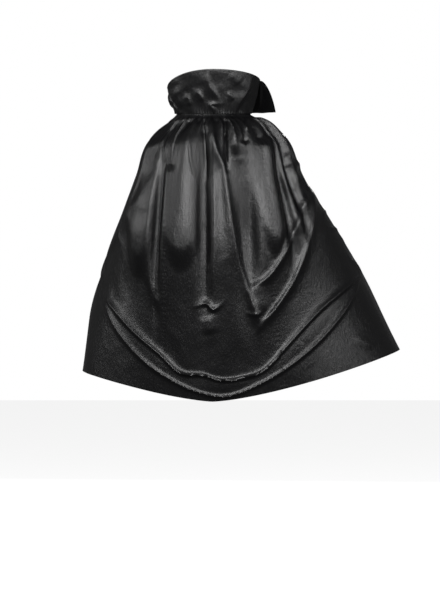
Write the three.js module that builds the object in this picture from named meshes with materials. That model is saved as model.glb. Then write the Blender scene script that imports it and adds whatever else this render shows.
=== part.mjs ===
// A child's satin cape with a stiff stand-up collar, worn and held open at the sides.
// Millimetres. +Z up, +Y the way the wearer faces, +X the wearer's right.
// The origin is the centre of the neck opening, at the level of the neck seam.
import * as THREE from 'three';

// ---------------------------------------------------------------- driving dimensions
const neckHalfWidth = 84;      // the neck seam is an ellipse seen from above
const neckHalfDepth = 62;
const neckbandEnd = 166;       // degrees round from centre back to each end of the neckband
const neckbandHeight = 11;
const neckbandThickness = 1.2;
const neckbandBottom = 0.5;

const clothThickness = 4;      // the cloth with its folds, as one plain layer
const neckSeamDrop = 3.5;      // the cloth hangs from just under the neckband
const sideSeam = 0.25;         // where a side panel starts, as a share of the half width
const seamGap = 0.002;         // half the gap at a side seam, as a share of the half width
const hemSweep = 1.4;          // how late, going round from centre back, the cloth takes its edge's height
const rowSpread = 1.15;        // rows of points are this much closer together near the neck
const panelRows = 14;

const collarHeight = 99;       // at centre back
const collarLean = 10;         // how far its top leans out at centre back
const collarEnd = 140;         // degrees round to each end of the collar's seam
const collarFoldStart = 90;    // degrees round to where each fold meets the top edge
const collarOut = 3;           // the collar's middle layer stands this far outside the neckband
const collarBase = 1.8;        // height of the collar's bottom edge
const layers = {               // how far from the collar's middle each layer starts and ends
  lining: [-1.6, -0.8],
  stiffener: [-0.5, 0.5],
  outer: [0.8, 1.6],
};
const foldGap = 3;             // from the fold line to the collar point's layers

const closure = {              // hook-and-loop tab at the throat
  height: 9,
  bottom: 1,
  loopAt: -157,                // degrees round to the middle of the loop strip
  loopWidth: 17,
  loopThickness: 1,
  loopOut: 1.45,               // the loop strip's middle stands this far out from the neck seam
  hookFrom: 194.5,
  hookTo: 203,
  hookOut: [2.75, 3.75],       // from the neck seam to the strip's inner and outer face
  tabFrom: 158,
  tabTo: 204,
  tabOut: [4.05, 5.25],
  tabMargin: 0.5,              // the tab is this much taller than the strips at its top and bottom
};

const labels = {               // blank tapes sewn in at centre back, inside
  width: 30,
  height: 42,
  thickness: 0.6,
  top: -1,
  sizeWidth: 12,
  sizeHeight: 15,
  between: 1,
};

// Each side of the collar, mirrored to the wearer's right: where the fold line meets the top edge
// and the front edge, how far the point is turned forward, and how much the point's top edge bows.
const foldBottom = new THREE.Vector3(87, 64, 5);
const pointTip = new THREE.Vector3(145, 66, 7);
const pointBow = 8;
const sides = {
  left: { sign: -1, foldTop: new THREE.Vector3(106, 8, 60), turn: 90 },
  right: { sign: 1, foldTop: new THREE.Vector3(108, 5, 76), turn: 0 },
};

// The cape from neck (at 0) to hem (at 1): how far it reaches to each side, where its middle is,
// how deep it is behind and in front, how far round it wraps, and how low it hangs at centre back
// and at each front edge.
const stations = [
  { at: 0.0, left: 87, right: 87, axis: 0, back: 65, front: 62, wrap: 165, drop: 0, dropLeft: 0, dropRight: 0 },
  { at: 0.05, left: 118, right: 131, axis: 0, back: 83, front: 64, wrap: 160, drop: 22, dropLeft: 26, dropRight: 10 },
  { at: 0.1, left: 145, right: 163, axis: 0, back: 95, front: 66, wrap: 155, drop: 48, dropLeft: 54, dropRight: 40 },
  { at: 0.25, left: 178, right: 206, axis: 0, back: 114, front: 102, wrap: 140, drop: 148, dropLeft: 138, dropRight: 125 },
  { at: 0.45, left: 221, right: 272, axis: 30, back: 166, front: 134, wrap: 122, drop: 291, dropLeft: 255, dropRight: 230 },
  { at: 0.7, left: 271, right: 348, axis: 110, back: 249, front: 160, wrap: 96, drop: 452, dropLeft: 398, dropRight: 360 },
  { at: 1.0, left: 307, right: 434, axis: 111, back: 251, front: 160, wrap: 90, drop: 658, dropLeft: 596, dropRight: 543 },
];

// ---------------------------------------------------------------- materials
const satin = { color: 0x0b0b0d, roughness: 0.36, metalness: 0 };
const felt = { color: 0x3a3a3c, roughness: 0.95, metalness: 0 };
const nylon = { color: 0x121213, roughness: 0.8, metalness: 0 };
const labelCloth = { color: 0xe9e7e1, roughness: 0.6, metalness: 0 };

// ---------------------------------------------------------------- helpers
const group = new THREE.Group();

function addMesh(name, geometry, look) {
  const mesh = new THREE.Mesh(geometry, new THREE.MeshStandardMaterial(look));
  mesh.name = name;
  group.add(mesh);
  return mesh;
}

// Smooth curves through one value of the stations each.
function curveOf(key) {
  const places = stations.map((station) => station.at);
  const values = stations.map((station) => station[key]);
  const curve = new THREE.CubicInterpolant(places, values, 1);
  return (at) => curve.evaluate(at)[0];
}

const cape = {};
for (const key of ['left', 'right', 'axis', 'back', 'front', 'wrap', 'drop', 'dropLeft', 'dropRight']) {
  cape[key] = curveOf(key);
}

// The outward normal of surface(across, down), which faces away from a line above `centre`.
function normalAt(surface, across, down, centre) {
  const step = 1e-3;
  const along = surface(across + step, down).sub(surface(across - step, down));
  const downward = surface(across, down + step).sub(surface(across, down - step));
  const normal = along.cross(downward).normalize();
  const away = surface(across, down).sub(centre).setZ(0);
  return normal.dot(away) < 0 ? normal.negate() : normal;
}

// Places on a surface in a grid, each with its normal.
function gridOf(surface, acrossList, downList, centre) {
  return acrossList.map((across) => downList.map((down) => ({
    point: surface(across, down),
    normal: normalAt(surface, across, down, centre),
  })));
}

function steps(from, to, count) {
  return Array.from({ length: count + 1 }, (_, i) => from + ((to - from) * i) / count);
}

// A closed sheet between two offsets from a grid of places.
function sheetBetween(grid, inside, outside) {
  const rows = grid.length;
  const columns = grid[0].length;
  const vertices = [];
  for (const offset of [outside, inside]) {
    for (const row of grid) {
      for (const { point, normal } of row) {
        vertices.push(...point.clone().addScaledVector(normal, offset).toArray());
      }
    }
  }
  const at = (layer, i, j) => layer * rows * columns + i * columns + j;
  const faces = [];
  const quad = (a, b, c, d) => faces.push(a, b, c, a, c, d);
  for (let i = 0; i < rows - 1; i += 1) {
    for (let j = 0; j < columns - 1; j += 1) {
      quad(at(0, i, j), at(0, i + 1, j), at(0, i + 1, j + 1), at(0, i, j + 1));
      quad(at(1, i, j), at(1, i, j + 1), at(1, i + 1, j + 1), at(1, i + 1, j));
    }
    quad(at(0, i, 0), at(1, i, 0), at(1, i + 1, 0), at(0, i + 1, 0));
    quad(at(0, i, columns - 1), at(0, i + 1, columns - 1), at(1, i + 1, columns - 1), at(1, i, columns - 1));
  }
  for (let j = 0; j < columns - 1; j += 1) {
    quad(at(0, 0, j), at(0, 0, j + 1), at(1, 0, j + 1), at(1, 0, j));
    quad(at(0, rows - 1, j), at(1, rows - 1, j), at(1, rows - 1, j + 1), at(0, rows - 1, j + 1));
  }
  return faceOutward(vertices, faces);
}

// Turns every face over if the solid they close is inside out.
function faceOutward(vertices, faces) {
  const corner = (index) => new THREE.Vector3().fromArray(vertices, index * 3);
  let volume = 0;
  for (let f = 0; f < faces.length; f += 3) {
    volume += corner(faces[f]).dot(corner(faces[f + 1]).cross(corner(faces[f + 2])));
  }
  if (volume < 0) faces.reverse();
  const geometry = new THREE.BufferGeometry();
  geometry.setAttribute('position', new THREE.Float32BufferAttribute(vertices, 3));
  geometry.setIndex(faces);
  geometry.computeVertexNormals();
  return geometry;
}

// A place on the neck seam, `degrees` round from centre back, set out from it by `out`.
function neckPoint(degrees, out, z) {
  const angle = THREE.MathUtils.degToRad(degrees);
  const point = new THREE.Vector3(neckHalfWidth * Math.sin(angle), -neckHalfDepth * Math.cos(angle), z);
  const normal = new THREE.Vector3(Math.sin(angle) / neckHalfWidth, -Math.cos(angle) / neckHalfDepth, 0);
  return point.addScaledVector(normal.normalize(), out);
}

// ---------------------------------------------------------------- cloth panels
// across: -1 at the wearer's left front edge, 0 at centre back, 1 at the right front edge.
function capePoint(across, down) {
  const reach = across < 0 ? cape.left(down) : cape.right(down);
  const edgeDrop = across < 0 ? cape.dropLeft(down) : cape.dropRight(down);
  const angle = THREE.MathUtils.degToRad(across * cape.wrap(down));
  const depth = Math.cos(angle) > 0 ? cape.back(down) : cape.front(down);
  const towardEdge = Math.sin(Math.abs(across) * Math.PI / 2) ** hemSweep;
  const drop = THREE.MathUtils.lerp(cape.drop(down), edgeDrop, towardEdge);
  return new THREE.Vector3(reach * Math.sin(angle), cape.axis(down) - depth * Math.cos(angle), -neckSeamDrop - drop);
}

function addPanel(name, from, to, columns) {
  const downList = steps(0, 1, panelRows).map((share) => share ** rowSpread);
  const centre = new THREE.Vector3(0, 30, 0);
  const grid = gridOf(capePoint, steps(from, to, columns), downList, centre);
  addMesh(name, sheetBetween(grid, -clothThickness / 2, clothThickness / 2), satin);
}

// ---------------------------------------------------------------- collar
// The collar's top edge out to the fold, and then the fold line down to the front edge.
function collarTop(degrees, side) {
  const { sign, foldTop } = sides[side];
  const round = Math.abs(degrees);
  const point = new THREE.Vector3();
  if (round <= collarFoldStart) {
    const angle = THREE.MathUtils.degToRad(round);
    const backReach = neckHalfDepth + collarLean + foldTop.y;
    point.x = foldTop.x * Math.sin(angle);
    point.y = foldTop.y - backReach * Math.cos(angle);
    point.z = foldTop.z + (collarHeight - foldTop.z) * Math.cos(angle);
  } else {
    point.lerpVectors(foldTop, foldBottom, (round - collarFoldStart) / (collarEnd - collarFoldStart));
  }
  point.x *= sign;
  return point;
}

function collarPoint(degrees, height) {
  const side = degrees < 0 ? 'left' : 'right';
  return neckPoint(degrees, collarOut, collarBase).lerp(collarTop(degrees, side), height);
}

function addCollarLayer(name, layer, from, to, columns, bottom, top) {
  const grid = gridOf(collarPoint, steps(from, to, columns), steps(bottom, top, 3), new THREE.Vector3());
  addMesh(name, sheetBetween(grid, ...layers[layer]), layer === 'stiffener' ? felt : satin);
}

function addCollar() {
  const centreGap = 0.3;
  for (const [side, { sign }] of Object.entries(sides)) {
    for (const layer of ['outer', 'lining']) {
      const from = sign * centreGap;
      addCollarLayer(`collar_${layer}_${side}`, layer, from, sign * collarEnd, 14, 0, 1);
    }
  }
  addCollarLayer('collar_stiffener', 'stiffener', -collarFoldStart, collarFoldStart, 18, 0.06, 0.96);
}

// One collar point: a three-cornered flap between the fold line and its own tip. It is drawn turned
// out, on the wearer's right, then turned forward about the fold and mirrored as its side needs.
function pointGrid(side, margin) {
  const { sign, foldTop, turn } = sides[side];
  const fold = new THREE.Vector3().subVectors(foldTop, foldBottom).normalize();
  const toTip = new THREE.Vector3().subVectors(pointTip, foldTop);
  const normal = new THREE.Vector3().subVectors(foldBottom, foldTop).cross(toTip).normalize();
  const bowWay = toTip.clone().normalize().cross(normal).negate();
  const place = (down, out) => {
    const onFold = foldTop.clone().lerp(foldBottom, down);
    const onEdge = foldTop.clone().addScaledVector(toTip, down).addScaledVector(bowWay, pointBow * 4 * down * (1 - down));
    const width = onFold.distanceTo(onEdge);
    const share = THREE.MathUtils.lerp(foldGap / width, 1 - margin / width, out);
    return onFold.lerp(onEdge, share);
  };
  const turned = (vector) => vector.applyAxisAngle(fold, THREE.MathUtils.degToRad(turn));
  return steps(0.1 + margin / 100, 1 - margin / 100, 5).map((down) => steps(0, 1, 3).map((out) => {
    const point = turned(place(down, out).sub(foldBottom)).add(foldBottom);
    const facing = turned(normal.clone());
    point.x *= sign;
    facing.x *= sign;
    return { point, normal: facing };
  }));
}

function addCollarPoint(side) {
  for (const layer of ['outer', 'lining']) {
    addMesh(`collar_point_${layer}_${side}`, sheetBetween(pointGrid(side, 0.5), ...layers[layer]), satin);
  }
  addMesh(`collar_point_stiffener_${side}`, sheetBetween(pointGrid(side, 5), ...layers.stiffener), felt);
}

// ---------------------------------------------------------------- neckband, closure and labels
// A strip that follows the neck seam, between two offsets from it.
function neckStrip(from, to, columns, inside, outside, bottom, height) {
  const surface = (degrees, share) => neckPoint(degrees, 0, bottom + height * share);
  return sheetBetween(gridOf(surface, steps(from, to, columns), [0, 1], new THREE.Vector3()), inside, outside);
}

function addNeckband() {
  const half = neckbandThickness / 2;
  addMesh('neckband', neckStrip(-neckbandEnd, neckbandEnd, 44, -half, half, neckbandBottom, neckbandHeight), satin);
}

function addClosure() {
  const { height, bottom, loopAt, loopWidth, loopThickness, loopOut } = closure;
  const { hookFrom, hookTo, hookOut, tabFrom, tabTo, tabOut, tabMargin } = closure;
  const loop = addMesh('loop_strip', new THREE.BoxGeometry(loopWidth, loopThickness, height), nylon);
  const middle = neckPoint(loopAt, loopOut, bottom + height / 2);
  const outward = neckPoint(loopAt, loopOut + 1, bottom + height / 2).sub(middle);
  loop.position.copy(middle);
  loop.rotation.z = Math.atan2(outward.y, outward.x) - Math.PI / 2;
  addMesh('hook_strip', neckStrip(hookFrom, hookTo, 5, ...hookOut, bottom, height), nylon);
  const tabHeight = height + 2 * tabMargin;
  addMesh('closure_tab', neckStrip(tabFrom, tabTo, 16, ...tabOut, bottom - tabMargin, tabHeight), satin);
}

function addLabels() {
  const { width, height, thickness, top, sizeWidth, sizeHeight, between } = labels;
  const behindNeck = -neckHalfDepth + 4;
  const care = addMesh('care_label', new THREE.BoxGeometry(width, thickness, height), labelCloth);
  care.position.set(0, behindNeck, top - height / 2);
  const size = addMesh('size_label', new THREE.BoxGeometry(sizeWidth, thickness, sizeHeight), labelCloth);
  size.position.set((width + sizeWidth) / 2 + between, behindNeck, top - sizeHeight / 2);
}

// ---------------------------------------------------------------- the cape
addPanel('centre_back_panel', -sideSeam + seamGap, sideSeam - seamGap, 8);
addPanel('left_side_panel', -1, -sideSeam - seamGap, 14);
addPanel('right_side_panel', sideSeam + seamGap, 1, 14);
addCollar();
addCollarPoint('left');
addCollarPoint('right');
addNeckband();
addClosure();
addLabels();

export default group;
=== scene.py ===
import math

import bmesh
import bpy
import numpy as np
from mathutils import Matrix, Vector
from mathutils.kdtree import KDTree


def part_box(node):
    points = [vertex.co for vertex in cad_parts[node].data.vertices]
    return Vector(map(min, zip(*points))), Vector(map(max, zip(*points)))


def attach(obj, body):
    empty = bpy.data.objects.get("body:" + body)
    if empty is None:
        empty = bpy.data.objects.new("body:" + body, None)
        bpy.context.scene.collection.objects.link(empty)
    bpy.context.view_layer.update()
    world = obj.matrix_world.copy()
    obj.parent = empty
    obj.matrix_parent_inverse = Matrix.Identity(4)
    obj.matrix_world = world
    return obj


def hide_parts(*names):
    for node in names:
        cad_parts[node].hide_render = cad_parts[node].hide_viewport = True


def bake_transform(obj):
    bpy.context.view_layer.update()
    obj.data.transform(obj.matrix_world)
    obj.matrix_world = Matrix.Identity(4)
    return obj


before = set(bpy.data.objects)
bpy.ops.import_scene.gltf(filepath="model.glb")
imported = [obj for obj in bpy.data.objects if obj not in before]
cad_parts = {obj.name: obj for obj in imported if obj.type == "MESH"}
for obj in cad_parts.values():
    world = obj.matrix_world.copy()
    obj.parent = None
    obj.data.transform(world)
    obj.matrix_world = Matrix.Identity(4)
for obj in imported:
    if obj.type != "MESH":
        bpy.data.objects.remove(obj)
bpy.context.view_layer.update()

MM = 0.001

# ---- sizes, as the CAD has them
NECK_HALF_WIDTH = 84 * MM
NECK_HALF_DEPTH = 62 * MM
NECKBAND_END = 166  # degrees round from centre back
NECKBAND_BOTTOM = 0.5 * MM
NECKBAND_HEIGHT = 10.5 * MM
NECKBAND_THICKNESS = 1.2 * MM
NECK_SEAM_DROP = 3.5 * MM
SIDE_SEAM = 0.25  # each side seam's place, as a share of half the cape's width
COLLAR_HEIGHT = 99 * MM
COLLAR_LEAN = 10 * MM
COLLAR_END = 140  # degrees round, as COLLAR_FOLD_START is
COLLAR_FOLD_START = 90
COLLAR_OUT = 3 * MM
COLLAR_BASE = 1.8 * MM
FOLD_BOTTOM = np.array((87, 64, 5)) * MM
POINT_TIP = np.array((145, 66, 7)) * MM
POINT_BOW = 8 * MM
# The top of each side's fold, drawn on the right, and how far its point is turned forward at rest.
SIDES = {
    "left": {"sign": -1, "fold_top": np.array((106, 8, 60)) * MM, "turn": 90},
    "right": {"sign": 1, "fold_top": np.array((108, 5, 76)) * MM, "turn": 0},
}

# ---- the cape's shape
# From neck (t = 0) to hem (t = 1), in mm and degrees: how far it reaches to each side, where its
# middle is, how deep it is behind and in front, how far round it wraps, and how low it hangs.
STATIONS = (0, 0.05, 0.1, 0.25, 0.45, 0.7, 1.0)
CAPE = {
    "left": (87, 118, 145, 178, 221, 271, 309),
    "right": (87, 131, 163, 206, 272, 348, 437),
    "axis": (0, 0, 0, 0, 30, 110, 111),
    "back": (65, 83, 95, 114, 166, 249, 251),
    "front": (62, 64, 66, 102, 134, 160, 160),
    "wrap": (165, 160, 155, 140, 122, 96, 90),
    "drop": (0, 22, 48, 148, 291, 452, 658),
    "drop_left": (0, 26, 54, 138, 255, 398, 596),
    "drop_right": (0, 10, 40, 125, 230, 360, 543),
}

# ---- the cloth's cut
CUT_LENGTH = 0.69  # neck seam to hem
CUT_WIDTH_TOP = 0.80  # along the neck seam, before it is gathered
CUT_WIDTH_HEM = 0.98
GRIP_AT = 0.705  # where the hands hold the front edges, as a share of the length
CLOTH_THICKNESS = 0.5 * MM
HEM = 14 * MM  # the cloth is folded over this far along the hem
EDGE_HEM = 10 * MM
SEAM_ALLOWANCE = 9 * MM
HEM_STITCH = 12 * MM  # how far above the hem its stitches run
EDGE_STITCH = 3  # the grid column, in from the front edge, that its stitches follow
EDGE_STITCH_TOP = 4  # the grid row where they start


# ---- small helpers
def ease(x):
    x = np.clip(x, 0, 1)
    return x * x * (3 - 2 * x)


def station_curve(t, key):
    """A smooth curve through one row of CAPE."""
    knots = np.asarray(STATIONS, float)
    values = np.asarray(CAPE[key], float)
    slopes = np.gradient(values, knots)
    i = np.clip(np.searchsorted(knots, t) - 1, 0, len(knots) - 2)
    h = knots[i + 1] - knots[i]
    s = (t - knots[i]) / h
    start = (2 * s**3 - 3 * s**2 + 1) * values[i] + (s**3 - 2 * s**2 + s) * h * slopes[i]
    return start + (-2 * s**3 + 3 * s**2) * values[i + 1] + (s**3 - s**2) * h * slopes[i + 1]


def cape_surface(u, t):
    """The cape without its folds: u runs from -1 to 1, left edge to right, and t from neck to hem."""
    left = u < 0
    reach = np.where(left, station_curve(t, "left"), station_curve(t, "right"))
    edge_drop = np.where(left, station_curve(t, "drop_left"), station_curve(t, "drop_right"))
    angle = np.radians(u * station_curve(t, "wrap"))
    depth = np.where(np.cos(angle) > 0, station_curve(t, "back"), station_curve(t, "front"))
    drop = station_curve(t, "drop")
    drop = drop + (edge_drop - drop) * np.sin(np.abs(u) * math.pi / 2) ** 1.4
    x = reach * np.sin(angle)
    y = station_curve(t, "axis") - depth * np.cos(angle)
    z = -drop * MM - NECK_SEAM_DROP + neck_droop(np.degrees(angle)) * (1 - ease(t / 0.15))
    return np.stack([x * MM, y * MM, z], -1)


def neck_droop(degrees):
    """The neck seam hangs a little lower at centre back, where the cloth's weight is."""
    return -5 * MM * ((1 + np.cos(np.radians(degrees))) / 2) ** 2


def neck_point(degrees, out, z):
    """A place on the neck seam, set out from it by `out`, at height z above it."""
    angle = np.radians(degrees)
    z = z + neck_droop(degrees)
    point = np.stack([NECK_HALF_WIDTH * np.sin(angle), -NECK_HALF_DEPTH * np.cos(angle), z], -1)
    normal = np.stack([np.sin(angle) / NECK_HALF_WIDTH, -np.cos(angle) / NECK_HALF_DEPTH, 0 * angle], -1)
    return point + unit(normal) * np.asarray(out)[..., None]


def unit(vectors):
    return vectors / np.maximum(np.linalg.norm(vectors, axis=-1, keepdims=True), 1e-12)


def grid_normals(grid, centre):
    """Outward normals of a grid of points, away from a line above `centre`."""
    normal = unit(np.cross(np.gradient(grid, axis=1), np.gradient(grid, axis=0)))
    away = ((grid - centre)[..., :2] * normal[..., :2]).sum(-1)
    return normal if np.median(away) > 0 else -normal


def refine(grid, axis, times=2):
    """Divides each step of a grid along one axis, on smooth curves through its points."""
    g = np.moveaxis(grid, axis, 0)
    first = 2 * g[:1] - g[1:2]
    last = 2 * g[-1:] - g[-2:-1]
    padded = np.concatenate([first, g, last])
    a, b, c, d = padded[:-3], padded[1:-2], padded[2:-1], padded[3:]
    rows = []
    for k in range(times):
        s = k / times
        rows.append(0.5 * (2 * b + (c - a) * s + (2 * a - 5 * b + 4 * c - d) * s**2
                           + (3 * b - 3 * c + d - a) * s**3))
    between = np.stack(rows, 1).reshape(-1, *g.shape[1:])
    return np.moveaxis(np.concatenate([between, g[-1:]]), 0, axis)


def new_object(name, mesh):
    obj = bpy.data.objects.new(name, mesh)
    bpy.context.scene.collection.objects.link(obj)
    return obj


def new_mesh(name, vertices, faces, material, uvs=None):
    """A smooth-shaded mesh; uvs holds one (u, v) for each vertex."""
    mesh = bpy.data.meshes.new(name)
    mesh.from_pydata(np.asarray(vertices, float).tolist(), [], [list(map(int, f)) for f in faces])
    if uvs is not None:
        layer = mesh.uv_layers.new(name="UVMap")
        loops = np.empty(len(mesh.loops), np.int64)
        mesh.loops.foreach_get("vertex_index", loops)
        layer.data.foreach_set("uv", np.asarray(uvs, np.float32)[loops].reshape(-1))
    mesh.polygons.foreach_set("use_smooth", np.ones(len(mesh.polygons), bool))
    mesh.materials.append(material)
    return mesh


def mesh_object(name, vertices, faces, material, uvs=None):
    """A closed solid with its faces turned outward, shaded smooth across shallow edges only."""
    mesh = new_mesh(name, vertices, faces, material, uvs)
    bm = bmesh.new()
    bm.from_mesh(mesh)
    bmesh.ops.recalc_face_normals(bm, faces=bm.faces)
    if bm.calc_volume(signed=True) < 0:
        bmesh.ops.reverse_faces(bm, faces=bm.faces)
    bm.to_mesh(mesh)
    bm.free()
    mesh.set_sharp_from_angle(angle=math.radians(60))
    return new_object(name, mesh)


def bake_modifiers(obj):
    """Makes the shape that the modifiers give the object's own mesh."""
    graph = bpy.context.evaluated_depsgraph_get()
    mesh = bpy.data.meshes.new_from_object(obj.evaluated_get(graph))
    obj.modifiers.clear()
    obj.data = mesh


def grid_faces(rows, columns):
    index = np.arange(rows * columns).reshape(rows, columns)
    return np.stack([index[:-1, :-1], index[1:, :-1], index[1:, 1:], index[:-1, 1:]], -1).reshape(-1, 4)


def closed_sheet(name, grid, normals, outside, inside, uv, material):
    """A closed sheet of cloth between two offsets from a grid; the offsets may vary over it."""
    rows, columns = grid.shape[:2]
    outside = np.broadcast_to(outside, (rows, columns))
    inside = np.broadcast_to(inside, (rows, columns))
    outer = (grid + normals * outside[..., None]).reshape(-1, 3)
    inner = (grid + normals * inside[..., None]).reshape(-1, 3)
    faces = grid_faces(rows, columns)
    count = len(outer)
    index = np.arange(count).reshape(rows, columns)
    rim = np.concatenate([index[0, :], index[1:, -1], index[-1, -2::-1], index[-2:0:-1, 0]])
    ahead = np.roll(rim, -1)
    rim_faces = np.stack([rim, ahead, ahead + count, rim + count], -1)
    every = np.concatenate([faces, faces[:, ::-1] + count, rim_faces])
    uvs = np.concatenate([uv.reshape(-1, 2)] * 2)
    return mesh_object(name, np.concatenate([outer, inner]), every, material, uvs)


def tube_faces(rings, around, first=0):
    """The faces of a closed tube through rings of points, which are numbered on from `first`."""
    last = first + (rings - 1) * around
    faces = []
    for ring in range(first, last, around):
        for j in range(around):
            a, b = ring + j, ring + (j + 1) % around
            faces.append((a, b, b + around, a + around))
    return faces + [tuple(range(first, first + around)), tuple(range(last, last + around))]


def join(name, objects):
    """Makes one piece of several, each keeping its own material."""
    bm = bmesh.new()
    mesh = bpy.data.meshes.new(name)
    for slot_number, obj in enumerate(objects):
        mesh.materials.append(obj.data.materials[0])
        first = len(bm.faces)
        bm.from_mesh(obj.data)
        bm.faces.ensure_lookup_table()
        for face in bm.faces[first:]:
            face.material_index = slot_number
        bpy.data.objects.remove(obj)
    bm.to_mesh(mesh)
    bm.free()
    return new_object(name, mesh)


def stitches(name, path, outward, length=2.4 * MM, pitch=3.2 * MM, thick=0.28 * MM):
    """A row of thread stitches along a path; `outward` is the cloth's normal at each of its points."""
    step = np.linalg.norm(np.diff(path, axis=0), axis=1)
    run = np.concatenate([[0], np.cumsum(step)])
    count = int(run[-1] / pitch)
    middles = (np.arange(count) + 0.5) * run[-1] / count

    def at(distance, values):
        return np.stack([np.interp(distance, run, values[:, k]) for k in range(3)], -1)

    middle, out = at(middles, path), at(middles, outward)
    ahead = unit(at(middles + 0.1 * pitch, path) - at(middles - 0.1 * pitch, path))
    side = unit(np.cross(ahead, out))
    sections = ((-0.5, 0.35), (-0.25, 1), (0.25, 1), (0.5, 0.35))
    around = 6
    rings = []
    for along, size in sections:
        centre = middle + ahead * along * length + out * thick * (0.5 * size - 0.1)
        for angle in np.radians(range(0, 360, 360 // around)):
            rings.append(centre + (side * math.cos(angle) + out * math.sin(angle)) * thick * size / 2)
    vertices = np.stack(rings, 1).reshape(-1, 3)
    faces = []
    for first in range(0, len(vertices), len(rings)):
        faces += tube_faces(len(sections), around, first)
    return mesh_object(name, vertices, faces, THREAD)


def stand_for(piece, nodes, body=None):
    """Takes the place of the nodes, which it hides; the piece is attached to the body if one is given."""
    if body:
        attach(piece, body)
    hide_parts(*nodes)


# ---- materials
class Shader:
    """Short ways to add and join shader nodes of one material."""

    def __init__(self, name):
        self.material = bpy.data.materials.new(name)
        self.material.use_nodes = True
        self.tree = self.material.node_tree
        self.surface = self.tree.nodes["Principled BSDF"]

    def node(self, kind, inputs=None, **settings):
        node = self.tree.nodes.new(kind)
        for key, value in settings.items():
            setattr(node, key, value)
        for key, value in (inputs or {}).items():
            self.put(node, key, value)
        return node

    def put(self, node, key, value):
        if isinstance(value, bpy.types.NodeSocket):
            self.tree.links.new(value, node.inputs[key])
        else:
            node.inputs[key].default_value = value

    def set(self, **values):
        for key, value in values.items():
            self.put(self.surface, key.replace("_", " "), value)

    def uv(self):
        return self.node("ShaderNodeUVMap", uv_map="UVMap").outputs["UV"]

    def place(self):
        return self.node("ShaderNodeTexCoord").outputs["Object"]

    def scaled(self, vector, scale):
        return self.node("ShaderNodeMapping", {"Vector": vector, "Scale": scale}).outputs["Vector"]

    def math(self, operation, a, b=0.0):
        return self.node("ShaderNodeMath", {0: a, 1: b}, operation=operation).outputs[0]

    def noise(self, vector, scale, detail=3.0, roughness=0.5):
        inputs = {"Vector": vector, "Scale": scale, "Detail": detail, "Roughness": roughness}
        return self.node("ShaderNodeTexNoise", inputs).outputs["Fac"]

    def spread(self, value, low, high):
        """Maps 0..1 to low..high."""
        inputs = {"Value": value, "From Min": 0.0, "From Max": 1.0, "To Min": low, "To Max": high}
        return self.node("ShaderNodeMapRange", inputs).outputs["Result"]

    def mix_colour(self, factor, a, b):
        return self.node("ShaderNodeMix", {0: factor, 6: a, 7: b}, data_type="RGBA").outputs[2]

    def bump(self, height, distance, strength=1.0, normal=None):
        inputs = {"Height": height, "Distance": distance, "Strength": strength}
        if normal is not None:
            inputs["Normal"] = normal
        return self.node("ShaderNodeBump", inputs).outputs["Normal"]


def shade(colour, factor):
    return tuple(c * factor for c in colour) + (1,)


def weave_height(shader, uv, pitch):
    """Threads of satin: long floats along the length, crossed by fine picks."""
    along = shader.node("ShaderNodeSeparateXYZ", {"Vector": uv})
    warp = shader.math("SINE", shader.math("MULTIPLY", along.outputs["X"], 2 * math.pi / pitch))
    thread_number = shader.math("FLOOR", shader.math("DIVIDE", along.outputs["X"], pitch))
    step = shader.math("MULTIPLY", thread_number, 0.4)
    shifted = shader.math("ADD", shader.math("DIVIDE", along.outputs["Y"], pitch * 5), step)
    pick = shader.math("SINE", shader.math("MULTIPLY", shifted, 2 * math.pi))
    return shader.math("ADD", warp, shader.math("MULTIPLY", pick, 0.5))


def satin(name, colour, gloss=0.33, crumple=1.0):
    """Black polyester satin, with a sheen along its threads, slubs, a fine weave and small wrinkles.

    `gloss` is its mean roughness, and `crumple` how deep the wrinkles are.
    """
    s = Shader(name)
    uv = s.uv()
    slubs = s.noise(s.scaled(uv, (900, 14, 1)), 1.0, 2.0)
    patches = s.noise(uv, 9.0, 3.0)
    fine = s.noise(s.scaled(uv, (500, 220, 1)), 1.0, 2.0, 0.7)
    streaks = s.math("MULTIPLY", s.math("ADD", slubs, patches), 0.5)
    s.set(Base_Color=s.mix_colour(streaks, shade(colour, 0.75), shade(colour, 1.5)))
    rough = s.math("ADD", s.spread(patches, gloss - 0.05, gloss + 0.05), s.spread(fine, -0.05, 0.05))
    s.set(Roughness=s.math("ADD", rough, s.spread(slubs, -0.04, 0.04)))
    s.set(Specular_IOR_Level=0.34, Anisotropic=0.3)
    weave = s.bump(weave_height(s, uv, 0.0005), 0.00004, 0.5)
    grain = s.bump(fine, 0.0006, 0.5, weave)
    ripple = s.noise(s.scaled(uv, (210, 75, 1)), 1.0, 2.0, 0.6)
    grain = s.bump(ripple, 0.0012, 0.5, grain)
    wrinkles = s.noise(s.scaled(uv, (34, 22, 1)), 1.0, 3.0, 0.5)
    s.set(Normal=s.bump(wrinkles, 0.003 * crumple, 0.25, grain))
    return s.material


def felt(name, colour):
    s = Shader(name)
    place = s.place()
    fibres = s.noise(place, 900.0, 6.0, 0.7)
    s.set(Base_Color=s.mix_colour(fibres, shade(colour, 0.6), shade(colour, 1)))
    s.set(Roughness=s.spread(fibres, 0.85, 1.0))
    s.set(Specular_IOR_Level=0.2, Normal=s.bump(fibres, 0.0006, 0.8))
    return s.material


def nylon_pile(name, colour):
    s = Shader(name)
    place = s.place()
    cells = s.node("ShaderNodeTexVoronoi", {"Vector": place, "Scale": 1400.0}).outputs["Distance"]
    fuzz = s.noise(place, 2600.0, 4.0)
    height = s.math("ADD", cells, fuzz)
    s.set(Base_Color=s.mix_colour(fuzz, shade(colour, 0.5), shade(colour, 2)))
    s.set(Roughness=s.spread(fuzz, 0.6, 0.85), Sheen_Weight=0.3, Normal=s.bump(height, 0.0005, 0.9))
    return s.material


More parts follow.
